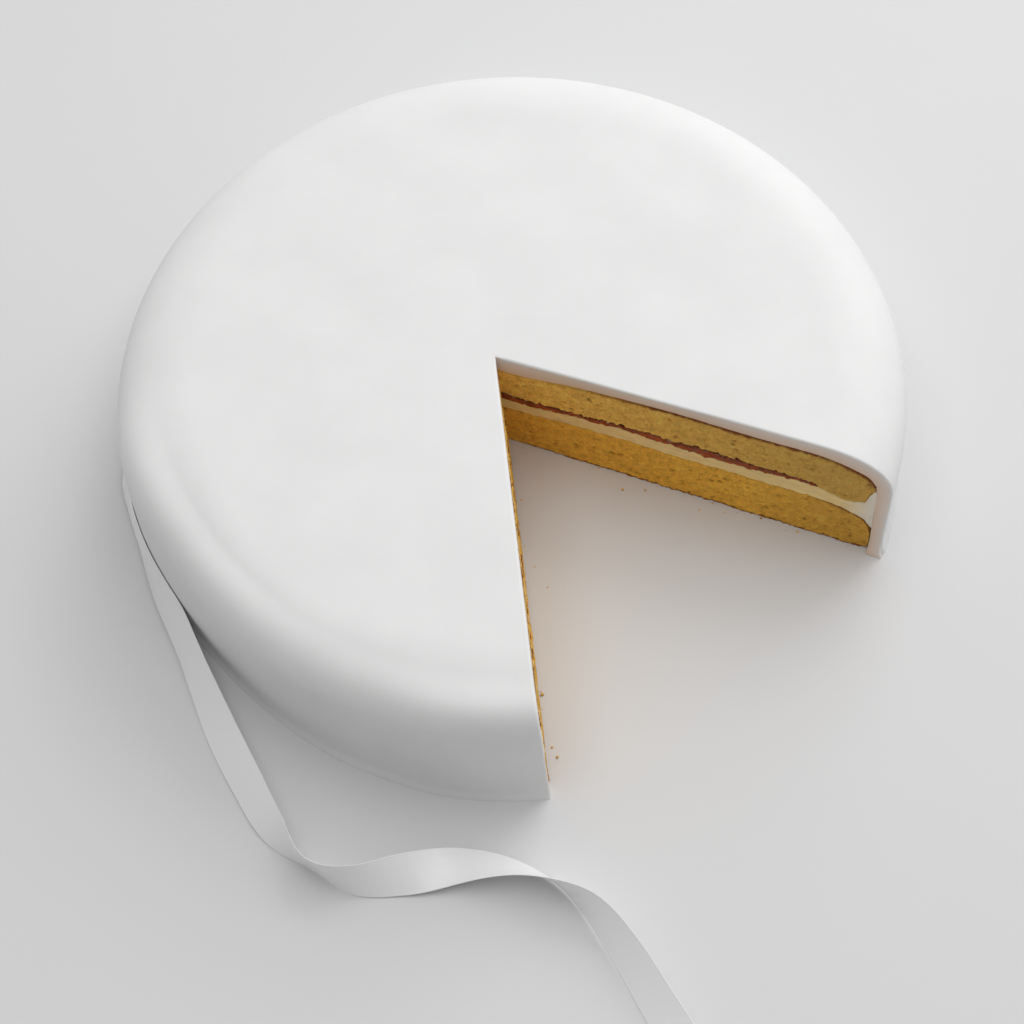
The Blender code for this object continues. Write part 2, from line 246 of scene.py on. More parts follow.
# Camera: the photograph's viewpoint
CAMERA_PLACE = (-1.33 * MM, -486.59 * MM, 757.24 * MM)
CAMERA_TILT = 58.598  # degrees below the horizon
CAMERA_ROLL = -2.4424  # degrees
CAMERA_LENS = 96.44  # millimetres, on a sensor 36 mm wide
SENSOR_WIDTH = 36.0  # millimetres
CLIP_START = 10.0 * MM
FLOOR_SQUARES = 8  # along each side of the floor


class CakeSizes(bpy.types.PropertyGroup):
    """Sizes of the cake's pieces."""

    wall_radius: bpy.props.FloatProperty(
        name="Wall radius", description="Radius of the iced wall", default=124.9 * MM, unit="LENGTH"
    )
    edge_reach: bpy.props.FloatProperty(
        name="Edge reach", description="How far in the rounded top edge starts",
        default=25.9 * MM, unit="LENGTH",
    )
    edge_drop: bpy.props.FloatProperty(
        name="Edge drop", description="How far down the rounded top edge ends",
        default=17.0 * MM, unit="LENGTH",
    )
    edge_power: bpy.props.FloatProperty(
        name="Edge power", description="Shape of the rounded edge: 2 is an ellipse, more is squarer",
        default=2.3,
    )
    icing_round: bpy.props.FloatProperty(
        name="Cut rounding", description="Radius of the icing's edge along the cut",
        default=0.6 * MM, unit="LENGTH",
    )
    icing_grid: bpy.props.FloatProperty(
        name="Icing grid", description="Distance between the icing's columns",
        default=1.1 * MM, unit="LENGTH",
    )
    crumb_grid: bpy.props.FloatProperty(
        name="Crumb grid", description="Distance between points of a cut face",
        default=0.42 * MM, unit="LENGTH",
    )
    pore_depth: bpy.props.FloatProperty(
        name="Pore depth", description="Depth of the larger pores in the crumb",
        default=1.0 * MM, unit="LENGTH",
    )
    grain_depth: bpy.props.FloatProperty(
        name="Grain depth", description="Relief of the crumb between its pores",
        default=0.35 * MM, unit="LENGTH",
    )
    ribbon_width: bpy.props.FloatProperty(
        name="Ribbon width", description="Width of the satin ribbon", default=12.7 * MM, unit="LENGTH"
    )
    ribbon_thickness: bpy.props.FloatProperty(
        name="Ribbon thickness", description="Thickness of the ribbon", default=0.3 * MM, unit="LENGTH"
    )
    selvedge_width: bpy.props.FloatProperty(
        name="Selvedge width", description="Width of the woven edge", default=0.7 * MM, unit="LENGTH"
    )
    crumb_count: bpy.props.IntProperty(
        name="Loose crumbs", description="Number of loose crumbs along the foot of the cut", default=24
    )
    crumb_size: bpy.props.FloatProperty(
        name="Crumb size", description="Radius of the largest loose crumb",
        default=0.7 * MM, unit="LENGTH",
    )


class CakeColours(bpy.types.PropertyGroup):
    """Colours of the cake's pieces."""

    icing: bpy.props.FloatVectorProperty(
        name="Icing", description="Sugar icing", subtype="COLOR", size=4, default=(0.80, 0.80, 0.797, 1.0)
    )
    # Cut icing: partly buttercream smeared by the knife, partly painted light bounced from the sponge
    icing_cut_smear_and_bounce: bpy.props.FloatVectorProperty(
        name="Cut icing", description="Icing where the knife went through", subtype="COLOR", size=4,
        default=(0.76, 0.57, 0.43, 1.0),
    )
    upper_sponge: bpy.props.FloatVectorProperty(
        name="Upper sponge", description="Crumb of the upper sponge", subtype="COLOR", size=4,
        default=(0.94, 0.54, 0.12, 1.0),
    )
    lower_sponge: bpy.props.FloatVectorProperty(
        name="Lower sponge", description="Crumb of the lower sponge", subtype="COLOR", size=4,
        default=(0.87, 0.46, 0.065, 1.0),
    )
    # Pores: painted shade, a dark colour put inside the crumb's pits
    pore_shade: bpy.props.FloatVectorProperty(
        name="Pores", description="Inside of the crumb's pores", subtype="COLOR", size=4,
        default=(0.25, 0.125, 0.035, 1.0),
    )
    crust: bpy.props.FloatVectorProperty(
        name="Crust", description="Baked skin of the sponges", subtype="COLOR", size=4,
        default=(0.18, 0.04, 0.01, 1.0),
    )
    jam: bpy.props.FloatVectorProperty(
        name="Jam", description="Jam filling", subtype="COLOR", size=4, default=(0.32, 0.065, 0.012, 1.0)
    )
    jam_edge: bpy.props.FloatVectorProperty(
        name="Jam edge", description="Jam soaked into the torn crumb", subtype="COLOR", size=4,
        default=(0.10, 0.018, 0.005, 1.0),
    )
    fleck: bpy.props.FloatVectorProperty(
        name="Flecks", description="Pale flecks along the jam's upper side", subtype="COLOR", size=4,
        default=(0.62, 0.42, 0.30, 1.0),
    )
    cream: bpy.props.FloatVectorProperty(
        name="Buttercream", description="Buttercream filling", subtype="COLOR", size=4,
        default=(0.90, 0.67, 0.29, 1.0),
    )
    satin: bpy.props.FloatVectorProperty(
        name="Ribbon", description="Outer face of the satin ribbon", subtype="COLOR", size=4,
        default=(0.91, 0.91, 0.915, 1.0),
    )
    # Reverse face: the same white satin painted a little lighter, as painted sheen
    satin_back_and_sheen: bpy.props.FloatVectorProperty(
        name="Ribbon back", description="Reverse face of the satin ribbon", subtype="COLOR", size=4,
        default=(0.95, 0.95, 0.95, 1.0),
    )
    floor: bpy.props.FloatVectorProperty(
        name="Floor", description="Plain floor", subtype="COLOR", size=4, default=(0.70, 0.70, 0.705, 1.0)
    )


class CakeStage(bpy.types.PropertyGroup):
    """Floor and light."""

    floor_size: bpy.props.FloatProperty(
        name="Floor size", description="Side of the square floor", default=6.0, unit="LENGTH"
    )
    sky_front: bpy.props.FloatProperty(
        name="Sky in front", description="Strength of the even light on the viewer's side", default=0.30
    )
    sky_back: bpy.props.FloatProperty(
        name="Sky behind", description="Strength of the even light on the far side", default=0.52
    )
    top_power: bpy.props.FloatProperty(
        name="Top power", description="Soft light straight above", default=9.8, unit="POWER"
    )
    back_power: bpy.props.FloatProperty(
        name="Back power", description="Soft light from behind on the right", default=11.5, unit="POWER"
    )
    side_power: bpy.props.FloatProperty(
        name="Side power", description="Low light from the right", default=2.0, unit="POWER"
    )


def ease(low, high, value):
    """Rise smoothly from 0 at low to 1 at high."""
    t = np.clip((value - low) / (high - low), 0.0, 1.0)
    return t * t * (3.0 - 2.0 * t)


def plateau(angles, value):
    """Rise over the first two of four values and fall over the last two."""
    return ease(angles[0], angles[1], value) * (1.0 - ease(angles[2], angles[3], value))


def wave(x, y, level):
    """Sum of three slow waves across the cake, other ones at each level, between -1 and 1."""
    total = 0.0
    for i, length in enumerate(WAVE_LENGTHS):
        heading = WAVE_TURN * i + LEVEL_TURN * level
        along = x * math.cos(heading) + y * math.sin(heading)
        total = total + np.sin(math.tau * along / length + LEVEL_SHIFT * level + i)
    return total / len(WAVE_LENGTHS)


def ragged(x, y, level):
    """Small uneven steps of the border between two layers, between about -1 and 1."""
    return np.array([
        sum(
            share * noise.noise((px / length, py / length, salt * level))
            for share, length, salt in RAGGED
        )
        for px, py in zip(x, y)
    ])


def uneven(points, torn=True):
    """Move points of the even cake to their places in the real, uneven one."""
    x, y, z = points.T
    radius = np.hypot(x, y)
    dip = np.exp(-(radius / DIP_RADIUS) ** 2)
    calm = 1.0 - ease(*WAVE_FADE, radius)
    heights = np.array([level[0] for level in LEVELS])
    shifts = np.zeros((len(LEVELS), len(points)))
    for i, (_, depth, height, tear) in enumerate(LEVELS):
        shifts[i] = depth * dip + height * calm * wave(x, y, i)
        if torn and tear > 0.0:
            shifts[i] += tear * (ragged(x, y, i) + TORN_BIAS[i])
    upper = np.clip(np.searchsorted(heights, z - 1e-9), 1, len(LEVELS) - 1)
    share = np.minimum((z - heights[upper - 1]) / (heights[upper] - heights[upper - 1]), 1.0)
    each = np.arange(len(points))
    shift = shifts[upper - 1, each] * (1.0 - share) + shifts[upper, each] * share
    angle = np.degrees(np.arctan2(y, x)) % 360.0
    hollow = HOLLOW_DEPTH * plateau(HOLLOW_ANGLES, angle) * (1.0 - HOLLOW_EASING * ease(*HOLLOW_FADE, z))
    push = (BULGE_DEPTH * plateau(BULGE_ANGLES, angle) - hollow) * ease(*PUSH_REACH, radius)
    sag = 1.0 - SHOULDER_SAG * plateau(SAG_ANGLES, angle)
    lift = SHOULDER_LIFT * plateau(SHOULDER_ANGLES, angle) * sag
    lift = lift * ease(*SHOULDER_REACH, radius) * ease(*SHOULDER_FADE, z)
    scale = 1.0 + push / np.maximum(radius, MM)
    return np.column_stack((x * scale, y * scale, z + shift + lift))


def soften(points, rounds=2):
    """Cut the corners of a line of points, keeping its two ends."""
    line = np.array(points, float)
    for _ in range(rounds):
        near = 0.75 * line[:-1] + 0.25 * line[1:]
        far = 0.25 * line[:-1] + 0.75 * line[1:]
        inner = np.stack((near, far), axis=1).reshape(-1, line.shape[1])
        line = np.vstack((line[:1], inner[1:-1], line[-1:]))
    return line


def resample(line, count):
    """Points at even distances along a line."""
    lengths = np.r_[0.0, np.cumsum(np.linalg.norm(np.diff(line, axis=0), axis=1))]
    places = np.linspace(0.0, lengths[-1], count)
    return np.column_stack([np.interp(places, lengths, line[:, k]) for k in range(line.shape[1])])


def section(top, bottom, rim, columns, rows):
    """Grid of radius and height that fills the outline between a top, a bottom and a rim."""
    top = resample(top, columns)
    bottom = resample(bottom, columns)
    rim = resample(rim, rows)
    u = np.linspace(0.0, 1.0, columns)[:, None, None]
    v = np.linspace(0.0, 1.0, rows)[None, :, None]
    axis = bottom[0] + (top[0] - bottom[0]) * v[0]
    between = (1.0 - v) * bottom[:, None] + v * top[:, None]
    outward = (1.0 - u) * axis[None] + u * rim[None]
    corners = (1.0 - u) * (1.0 - v) * bottom[0] + u * (1.0 - v) * bottom[-1]
    corners = corners + (1.0 - u) * v * top[0] + u * v * top[-1]
    return between + outward - corners


def row_turns(first, step, wall):
    """Shares of the way round from the right cut face, 0, to the left one, 1."""
    sweep = math.radians(LEFT_FACE_ANGLES[1] - RIGHT_FACE_ANGLES[1])
    near = []
    turn, gap = 0.0, first / wall
    while gap < step:
        near.append(turn)
        turn += gap
        gap *= ROW_GROWTH
    count = math.ceil((sweep - 2.0 * turn) / step)
    middle = np.linspace(turn, sweep - turn, count + 1)
    return np.r_[near, middle, sweep - np.array(near[::-1])] / sweep


def place(radius, height, turn):
    """Points of the even cake on rays from the line where the two cut faces meet."""
    share = height / CAKE_HEIGHT
    apex = [base + (top - base) * share for base, top in zip(CUT_BASE_APEX, CUT_TOP_APEX)]
    right, left = (
        np.radians(base + (top - base) * share) for base, top in (RIGHT_FACE_ANGLES, LEFT_FACE_ANGLES)
    )
    angle = right + (left - right) * turn
    along = apex[0] * np.cos(angle) + apex[1] * np.sin(angle)
    far = np.maximum(radius, CENTRE_REACH)
    reach = np.sqrt(along ** 2 - apex[0] ** 2 - apex[1] ** 2 + far ** 2) - along
    reach = reach * np.minimum(radius / CENTRE_REACH, 1.0)
    return np.column_stack((apex[0] + reach * np.cos(angle), apex[1] + reach * np.sin(angle), height))


def outline_normals(grid):
    """Unit normals of a section's top line, pointing out of the food."""
    slope = np.gradient(grid[:, -1], axis=0)
    normals = np.column_stack((-slope[:, 1], slope[:, 0]))
    return normals / np.linalg.norm(normals, axis=1)[:, None]


def round_over(grid, turn, radius):
    """Sink the top line next to the two cut faces, as a knife rounds the edge over."""
    sweep = math.radians(LEFT_FACE_ANGLES[1] - RIGHT_FACE_ANGLES[1])
    nearest = min(turn, 1.0 - turn) * sweep
    away = grid[:, -1, 0] * math.sin(min(nearest, math.pi / 2.0))
    left = np.clip(radius - away, 0.0, radius)
    sunk = (radius - np.sqrt(radius ** 2 - left ** 2)) * ease(0.0, ROUNDING_FADE, grid[:, -1, 0])
    thick = np.linspace(0.0, 1.0, grid.shape[1])
    rounded = grid - (sunk[:, None] * outline_normals(grid))[:, None] * thick[None, :, None]
    rounded[:, :, 1] = np.maximum(rounded[:, :, 1], 0.0)
    return rounded


def swept_layer(name, grid, turns, relief, rounding=0.0, torn=True):
    """Sweep a section grid round the cake and close it with its two cut faces.

    relief(points, grid, right) gives, for the points of the right or the left cut face, how far
    each stands out and a dictionary of values to keep with the mesh. Returns the new object.
    """
    columns, rows = grid.shape[:2]
    last = len(turns) - 1
    ring = [(i, 0) for i in range(1, columns)]
    ring += [(columns - 1, j) for j in range(1, rows)]
    ring += [(i, rows - 1) for i in range(columns - 2, 0, -1)]
    inner = [(i, j) for i in range(1, columns - 1) for j in range(1, rows - 1)]
    numbers = {}
    verts = []
    axis = round_over(grid, 0.0, rounding)[0] if rounding else grid[0]
    verts.append(place(axis[:, 0], axis[:, 1], 0.0))
    total = rows
    for k, turn in enumerate(turns):
        shape = round_over(grid, turn, rounding) if rounding else grid
        keys = ring + inner if k in (0, last) else ring
        pick = np.array(keys)
        chosen = shape[pick[:, 0], pick[:, 1]]
        verts.append(place(chosen[:, 0], chosen[:, 1], turn))
        numbers[k] = {key: total + n for n, key in enumerate(keys)}
        numbers[k].update({(0, j): j for j in range(rows)})
        total += len(keys)
    points = uneven(np.vstack(verts), torn)
    kept = {}
    for k, face, outward in ((0, RIGHT_FACE_ANGLES, -90.0), (last, LEFT_FACE_ANGLES, 90.0)):
        index = np.array([[numbers[k][i, j] for j in range(rows)] for i in range(columns)])
        heading = math.radians(0.5 * sum(face) + outward)
        lift, values = relief(points[index], grid, k == 0)
        calm = ease(0.0, RELIEF_FADE, grid[:, 0, 0])[:, None]
        points[index, 0] += lift * calm * math.cos(heading)
        points[index, 1] += lift * calm * math.sin(heading)
        for key, value in values.items():
            kept.setdefault(key, np.zeros(len(points)))[index] = value
    faces = []
    chain = [(0, 0)] + ring + [(0, rows - 1)]
    for k in range(last):
        here, there = numbers[k], numbers[k + 1]
        for start, end in zip(chain, chain[1:]):
            corners = [here[start], here[end], there[end], there[start]]
            faces.append(list(dict.fromkeys(corners)))
    for k in (0, last):
        for i in range(columns - 1):
            for j in range(rows - 1):
                corners = [numbers[k][c] for c in ((i, j), (i, j + 1), (i + 1, j + 1), (i + 1, j))]
                faces.append(corners if k == 0 else corners[::-1])
    return new_piece(name, points, faces, kept)


def mesh_object(name, bm):
    """Make an object of a built mesh, which is then let go."""
    mesh = bpy.data.meshes.new(name)
    bm.to_mesh(mesh)
    bm.free()
    piece = bpy.data.objects.new(name, mesh)
    bpy.context.scene.collection.objects.link(piece)
    return piece


def new_piece(name, points, faces, values):
    """Make a mesh object, faces outwards, with named values on its vertices."""
    mesh = bpy.data.meshes.new(name)
    mesh.from_pydata([tuple(p) for p in points], [], faces)
    for key, value in values.items():
        attribute = mesh.attributes.new(key, "FLOAT", "POINT")
        attribute.data.foreach_set("value", np.asarray(value, np.float32))
    bm = bmesh.new()
    bm.from_mesh(mesh)
    bmesh.ops.recalc_face_normals(bm, faces=bm.faces)
    bm.to_mesh(mesh)
    bm.free()
    mesh.shade_smooth()
    mesh.set_sharp_from_angle(angle=SHARP_ANGLE)
    piece = bpy.data.objects.new(name, mesh)
    bpy.context.scene.collection.objects.link(piece)
    return piece


def pits(point, cell, widest, salt):
    """Depth between 0 and 1 of an uneven pit that a bubble has left at a point."""
    distances, centres = noise.voronoi(point / cell)
    size = widest * (0.3 + 0.7 * noise.cell(centres[0] * 3.7 + Vector((salt, 0.0, 0.0))) ** 2)
    crooked = 1.0 + 0.45 * noise.noise(point * (2.3 / cell))
    return max(0.0, 1.0 - distances[0] * crooked / size)


def crumb_relief(sizes, salt, stretch):
    """Relief of torn crumb: a grainy surface with pits of many sizes."""

    def relief(points, grid, right):
        lift = np.zeros(points.shape[:2])
        pore_shade = np.zeros(points.shape[:2])
        flat = points.reshape(-1, 3) / MM
        for n, (x, y, z) in enumerate(flat):
            spot = Vector((x / stretch, y / stretch, z)) + Vector((salt, salt, salt))
            large = pits(spot, *LARGE_PORES, salt)
            small = pits(spot + Vector(SMALL_PORES_SHIFT), *SMALL_PORES, salt)
            grain = noise.fractal(spot / GRAIN_LENGTH, 0.6, 2.2, 4)
            slow = noise.noise(spot / SWELL_LENGTH)
            i, j = divmod(n, points.shape[1])
            lift[i, j] = sizes.grain_depth * (grain + 0.9 * slow)
            lift[i, j] -= sizes.pore_depth * (large ** 0.7 + 0.45 * small ** 0.7)
            # Painted shade: darker in the pits and in the hollows of the grain
            pore_shade[i, j] = min(1.0, 1.1 * large + 0.8 * small + 0.35 * max(0.0, -grain))
        below = (grid[:, -1:, 1] - grid[:, :, 1]) / MM
        above = (grid[:, :, 1] - grid[:, :1, 1]) / MM
        values = {
            "pore_shade": pore_shade,
            "below_top": np.broadcast_to(below, pore_shade.shape),
            "above_base": np.broadcast_to(above, pore_shade.shape),
            "reach": np.broadcast_to(grid[:, :, 0] / MM, pore_shade.shape),
        }
        return lift, values

    return relief


def smooth_relief(height, length, salt):
    """Relief of a soft filling, smeared by the knife."""

    def relief(points, grid, right):
        flat = points.reshape(-1, 3)
        lift = [
            height * noise.fractal(Vector((x / length, y / length, 1.6 * z / length + salt)), 0.8, 2.0, 3)
            for x, y, z in flat
        ]
        below = (grid[:, -1:, 1] - grid[:, :, 1]) / MM
        return np.array(lift).reshape(points.shape[:2]), {"reach": grid[:, :, 0] / MM, "below_top": below}

    return relief


def icing_relief(points, grid, right):
    """The icing's cut face: nearly flat, with a toe pressed out at its foot."""
    height, reach = grid[:, :, 1], grid[:, :, 0]
    toe = (1.0 - ease(0.0, TOE_HEIGHT, height)) * ease(*TOE_REACH, reach)
    flat = points.reshape(-1, 3)
    drag = [noise.noise(Vector((x, y, z * 3.0)) / DRAG_LENGTH) for x, y, z in flat]
    drag = np.array(drag).reshape(reach.shape)
    # Share of the warm tint, strongest next to the sponge: partly smeared buttercream, partly painted
    # bounced light
    cut = np.broadcast_to(np.linspace(1.0, CUT_FADE, reach.shape[1]), reach.shape)
    return TOE_DEPTH * toe * float(right) + DRAG_DEPTH * drag, {"cut": cut}


def tint(color, factor):
    """A colour made lighter or darker."""
    return tuple(min(c * factor, 1.0) for c in color[:3]) + (1.0,)


class Nodes:
    """Short names for the nodes of one material."""

    def __init__(self, name):
        self.material = bpy.data.materials.new(name)
        self.material.use_nodes = True
        self.tree = self.material.node_tree
        self.shader = self.tree.nodes["Principled BSDF"]

    def add(self, kind, **values):
        """Add a node and set its properties."""
        node = self.tree.nodes.new(kind)
        for key, value in values.items():
            setattr(node, key, value)
        return node

    def link(self, source, target):
        """Join an output to an input."""
        self.tree.links.new(source, target)

    def place(self):
        """The point being shaded, in metres."""
        return self.add("ShaderNodeTexCoord").outputs["Object"]

    def stored(self, name):
        """A value kept on the mesh's vertices."""
        return self.add("ShaderNodeAttribute", attribute_name=name).outputs["Fac"]

    def feed(self, sockets, values):
        """Join each socket to an output, or set it to a number or a colour."""
        for socket, value in zip(sockets, values):
            if hasattr(value, "links"):
                self.link(value, socket)
            else:
                socket.default_value = value

    def grain(self, size, detail, roughness=0.5, stretch=(1.0, 1.0, 1.0)):
        """Noise with features of a given size in metres, between 0 and 1."""
        mapping = self.add("ShaderNodeMapping")
        mapping.inputs["Scale"].default_value = tuple(1.0 / (size * s) for s in stretch)
        self.link(self.place(), mapping.inputs["Vector"])
        node = self.add("ShaderNodeTexNoise")
        node.inputs["Scale"].default_value = 1.0
        node.inputs["Detail"].default_value = detail
        node.inputs["Roughness"].default_value = roughness
        self.link(mapping.outputs["Vector"], node.inputs["Vector"])
        return node.outputs["Fac"]

    def tints(self, value, base, stops):
        """Lighter and darker tints of a colour along a value: stops are (position, factor)."""
        node = self.add("ShaderNodeValToRGB")
        elements = node.color_ramp.elements
        while len(elements) < len(stops):
            elements.new(0.5)
        for element, (position, factor) in zip(elements, stops):
            element.position = position
            element.color = tint(base, factor)
        self.link(value, node.inputs["Fac"])
        return node.outputs["Color"]

    def span(self, value, low, high, start=0.0, end=1.0):
        """Map a value from one range to another, held at the ends."""
        node = self.add("ShaderNodeMapRange")
        sockets = [node.inputs[key] for key in ("Value", "From Min", "From Max", "To Min", "To Max")]
        self.feed(sockets, (value, low, high, start, end))
        return node.outputs["Result"]

    def math(self, operation, first, second):
        """Arithmetic on two values, each a socket or a number."""
        node = self.add("ShaderNodeMath", operation=operation)
        self.feed(node.inputs, (first, second))
        return node.outputs["Value"]

    def mix(self, share, first, second):
        """Mix two colours, each a socket or a colour."""
        node = self.add("ShaderNodeMix", data_type="RGBA")
        self.feed((node.inputs[0], node.inputs[6], node.inputs[7]), (share, first, second))
        return node.outputs[2]

    def bump(self, height, depth, strength):
        """Shade a height as relief, depth in metres."""
        node = self.add("ShaderNodeBump")
        node.inputs["Distance"].default_value = depth
        node.inputs["Strength"].default_value = strength
        self.link(height, node.inputs["Height"])
        self.link(node.outputs["Normal"], self.shader.inputs["Normal"])

    def paint(self, color, roughness):
        """Join a colour and a roughness to the shader."""
        self.link(color, self.shader.inputs["Base Color"])
        self.link(roughness, self.shader.inputs["Roughness"])

    def soft(self, weight, radius, scale):
        """Let light in under the surface: radius is a colour, scale is metres."""
        self.shader.inputs["Subsurface Weight"].default_value = weight
        self.shader.inputs["Subsurface Radius"].default_value = radius
        self.shader.inputs["Subsurface Scale"].default_value = scale


def icing_material(colours):
    """Rolled sugar icing: satin white with a faint mottle."""
    nodes = Nodes("sugar_icing")
    mottle = nodes.grain(26.0 * MM, 3.0, 0.6)
    color = nodes.tints(mottle, colours.icing, ((0.3, 0.97), (0.7, 1.01)))
    # Partly painted light: the cut face is warmed next to the sponge as by light bounced from it, and
    # partly by smeared buttercream
    color = nodes.mix(nodes.stored("cut"), color, colours.icing_cut_smear_and_bounce)
    nodes.paint(color, nodes.span(nodes.grain(1.6 * MM, 3.0), 0.3, 0.7, 0.42, 0.56))
    nodes.bump(nodes.grain(0.9 * MM, 4.0, 0.6), 0.03 * MM, 0.6)
    nodes.soft(0.25, (1.0, 0.95, 0.9), 1.5 * MM)
    nodes.shader.inputs["Specular IOR Level"].default_value = 0.35
    return nodes.material


def sponge_material(name, base, colours, crust_top, crust_foot, shade):
    """Torn sponge crumb with painted shade in its pores, and its baked skin at the top and the foot.

    Each crust is its thickness in millimetres, how strong it is, and the distances from
    the axis in millimetres between which it comes up to its full strength. The shade is
    the distances between which the crumb darkens towards the wall, and how much it does.
    """
    nodes = Nodes(name)
    patch = nodes.grain(3.0 * MM, 4.0, 0.65)
    fine = nodes.grain(0.8 * MM, 3.0, 0.7)
    color = nodes.tints(patch, base, ((0.3, 0.6), (0.46, 0.92), (0.55, 1.08), (0.7, 1.5)))
    color = nodes.mix(0.45, color, nodes.tints(fine, base, ((0.3, 0.62), (0.62, 1.3))))
    # Painted shade: the pits and hollows of the crumb are mixed towards the dark pore colour
    color = nodes.mix(nodes.span(nodes.stored("pore_shade"), 0.15, 1.0, 0.0, 0.75), color, colours.pore_shade)
    wander = nodes.span(nodes.grain(2.2 * MM, 3.0, 0.7), 0.3, 0.7, -0.5, 0.5)
    reach = nodes.stored("reach")
    color = nodes.mix(nodes.span(reach, shade[0], shade[1], 0.0, shade[2]), color, colours.pore_shade)
    crusts = {"below_top": crust_top, "above_base": crust_foot}
    for height, (thickness, weight, start, full) in crusts.items():
        edge = nodes.math("ADD", nodes.stored(height), wander)
        share = nodes.span(edge, 0.35 * thickness, thickness, weight, 0.0)
        baked = nodes.span(reach, start, full, 0.2, 1.0)
        color = nodes.mix(nodes.math("MULTIPLY", share, baked), color, colours.crust)
    nodes.paint(color, nodes.span(fine, 0.3, 0.7, 0.75, 0.95))
    nodes.bump(nodes.grain(0.55 * MM, 4.0, 0.7), 0.25 * MM, 0.7)
    nodes.soft(0.15, (1.0, 0.6, 0.25), 1.2 * MM)
    nodes.shader.inputs["Specular IOR Level"].default_value = 0.2
    return nodes.material


def jam_material(colours):
    """Set jam: dark and a little glossy, streaky, with pale flecks along its upper side."""
    nodes = Nodes("set_jam")
    streak = nodes.grain(1.8 * MM, 4.0, 0.7, (2.0, 2.0, 0.7))
    color = nodes.tints(streak, colours.jam, ((0.3, 0.5), (0.5, 1.0), (0.68, 1.7)))
    wander = nodes.span(nodes.grain(1.5 * MM, 3.0, 0.7), 0.3, 0.7, -0.6, 0.6)
    depth = nodes.math("ADD", nodes.stored("below_top"), wander)
    color = nodes.mix(nodes.span(depth, 0.2, 1.1, 0.85, 0.0), color, colours.jam_edge)
    fleck = nodes.span(nodes.grain(0.9 * MM, 2.0, 0.6), 0.6, 0.66, 0.0, 0.8)
    near_top = nodes.span(nodes.stored("below_top"), 0.3, 1.0, 1.0, 0.0)
    color = nodes.mix(nodes.math("MULTIPLY", fleck, near_top), color, colours.fleck)
    nodes.paint(color, nodes.span(streak, 0.3, 0.7, 0.42, 0.6))
    nodes.bump(nodes.grain(0.8 * MM, 3.0, 0.6), 0.3 * MM, 0.6)
    nodes.soft(0.15, (1.0, 0.15, 0.05), 0.8 * MM)
    nodes.shader.inputs["Specular IOR Level"].default_value = 0.3
    return nodes.material


def cream_material(colours):
    """Buttercream: soft and pale, smeared along the cut."""
    nodes = Nodes("buttercream")
    smear = nodes.grain(4.0 * MM, 4.0, 0.6, (2.5, 2.5, 0.6))
    color = nodes.tints(smear, colours.cream, ((0.3, 0.86), (0.7, 1.08)))
    color = nodes.mix(nodes.span(nodes.stored("reach"), 109.0, 119.0, 0.0, 0.7), color, colours.icing)
    nodes.paint(color, nodes.span(smear, 0.3, 0.7, 0.45, 0.62))
    nodes.bump(nodes.grain(0.7 * MM, 3.0, 0.6), 0.12 * MM, 0.5)
    nodes.soft(0.3, (1.0, 0.8, 0.5), 1.5 * MM)
    return nodes.material


def satin_material(colours):
    """Woven satin: fine ribs across the ribbon, a soft sheen, and a lighter woven edge with darker
    stitches.
    """
    nodes = Nodes("white_satin")
    along = nodes.stored("along")
    rib = nodes.math("SINE", nodes.math("MULTIPLY", along, math.tau / RIB_SPACING), 0.0)
    stitch = nodes.math("SINE", nodes.math("MULTIPLY", along, math.tau / STITCH_SPACING), 0.0)
    edge = nodes.span(nodes.stored("edge"), 0.35, 0.7)
    # Painted sheen: the reverse face is a lighter copy of the outer face's white
    color = nodes.mix(nodes.stored("reverse"), colours.satin, colours.satin_back_and_sheen)
    dots = nodes.math("MULTIPLY", edge, nodes.span(stitch, 0.3, 0.8, 0.0, 0.55))
    color = nodes.mix(nodes.math("MULTIPLY", edge, 0.5), color, tint(colours.satin_back_and_sheen, 1.05))
    color = nodes.mix(dots, color, tint(colours.satin, 0.7))
    nodes.paint(color, nodes.span(nodes.grain(3.0 * MM, 3.0), 0.3, 0.7, 0.3, 0.4))
    nodes.bump(rib, 0.02 * MM, 0.35)
    nodes.shader.inputs["Specular IOR Level"].default_value = 0.8
    nodes.shader.inputs["Sheen Weight"].default_value = 0.6
    nodes.shader.inputs["Sheen Roughness"].default_value = 0.35
    nodes.shader.inputs["Anisotropic"].default_value = 0.5
    return nodes.material


def floor_material(colours):
    """Plain pale floor with a faint mottle."""
    nodes = Nodes("pale_floor")
    mottle = nodes.grain(180.0 * MM, 3.0, 0.55)
    color = nodes.tints(mottle, colours.floor, ((0.3, 0.985), (0.7, 1.01)))
    nodes.paint(color, nodes.span(mottle, 0.3, 0.7, 0.7, 0.8))
    return nodes.material


def finish_piece(piece, material, slot, *nodes):
    """Give a piece its material and its body, and hide the solids it stands for, if any. The slot is not
    used.
    """
    piece.data.materials.append(material)
    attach(piece, BODY)
    if nodes:
        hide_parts(*nodes)


def icing_outside(sizes):
    """The icing's outer line, from the middle over the rounded edge to the foot."""
    edge_radius = sizes.wall_radius - sizes.edge_reach
    edge_height = CAKE_HEIGHT - sizes.edge_drop
    line = [(0.0, CAKE_HEIGHT), (0.5 * edge_radius, CAKE_HEIGHT)]
    for i in range(EDGE_STEPS + 1):
        turn = 0.5 * math.pi * i / EDGE_STEPS
        reach = sizes.edge_reach * math.sin(turn) ** (2.0 / sizes.edge_power)
        rise = sizes.edge_drop * max(math.cos(turn), 0.0) ** (2.0 / sizes.edge_power)
        line.append((edge_radius + reach, edge_height + rise))
    return np.vstack((line, soften(np.array(ICING_WALL) * MM)))


def layer_section(top, bottom, rim, spacing, rows):
    """Section grid of a layer from its named outlines."""
    lines = [soften(np.array(line) * MM) for line in (top, bottom, rim)]
    length = np.linalg.norm(np.diff(lines[0], axis=0), axis=1).sum()
    return section(*lines, round(length / spacing) + 1, rows)


